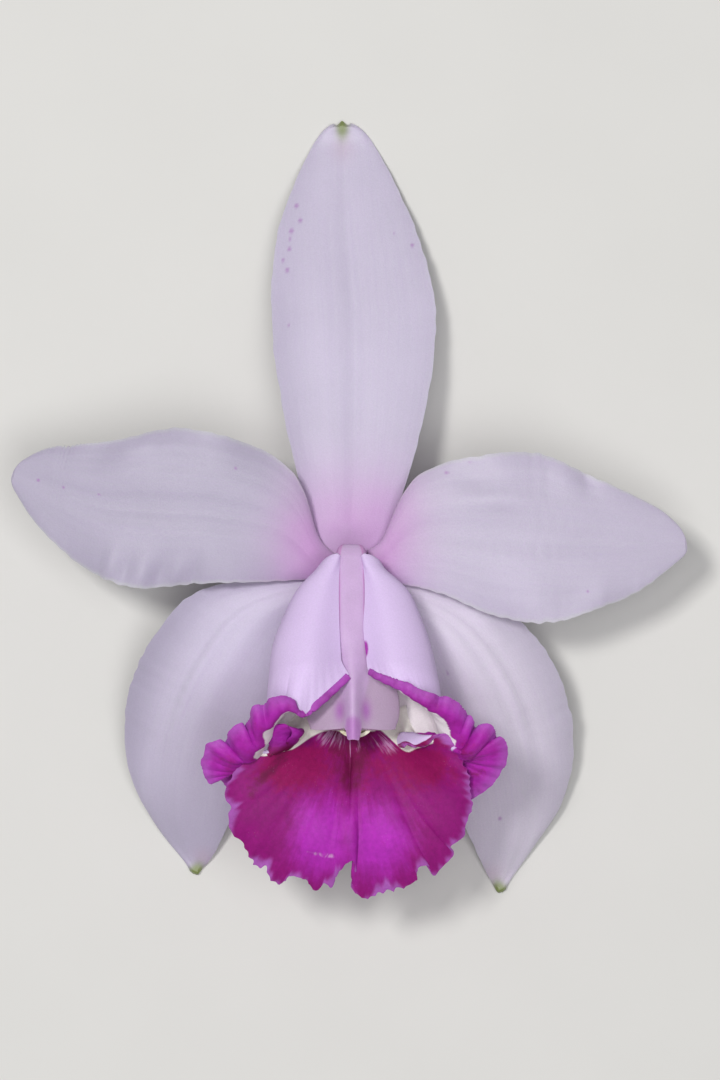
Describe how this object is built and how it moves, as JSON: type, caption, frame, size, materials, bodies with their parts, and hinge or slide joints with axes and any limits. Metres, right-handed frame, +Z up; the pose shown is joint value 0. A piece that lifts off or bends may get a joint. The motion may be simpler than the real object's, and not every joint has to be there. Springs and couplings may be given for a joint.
{
  "type": "orchid bloom",
  "caption": "Cattleya orchid bloom lying on its back: slender sepals, broad wavy petals, a frilled trumpet lip rolled round the column, and a short ribbed stalk.",
  "frame": {"origin": "middle of the bloom's footprint, on the surface that it lies on", "axes": "+Z up out of the flower's face, +Y towards the tip of the dorsal sepal, -Y towards the front lobe of the lip, +X towards the petal on the right as one looks into the flower"},
  "size_m": [0.1058, 0.1234, 0.0379],
  "materials": {
    "sepal": "fresh pale lilac flower tissue, finely veined, soft satin sheen",
    "petal": "fresh pale lilac flower tissue, finely veined, flushed rose at the base",
    "lip": "velvety flower tissue: pale lilac tube, magenta to crimson frilled lobes",
    "column": "waxy pink-lilac flower tissue",
    "anther_cap": "waxy cream flower tissue",
    "pollinia": "waxy yellow pollen masses",
    "stalk": "fresh green ribbed stalk"
  },
  "bodies": {
    "root": {"dorsal_sepal": "sepal", "lateral_sepal_left": "sepal", "lateral_sepal_right": "sepal", "petal_left": "petal", "petal_right": "petal", "lip": "lip", "column": "column", "anther_cap": "anther_cap", "pollinia": "pollinia", "ovary_pedicel": "stalk"}
  },
  "joints": []
}
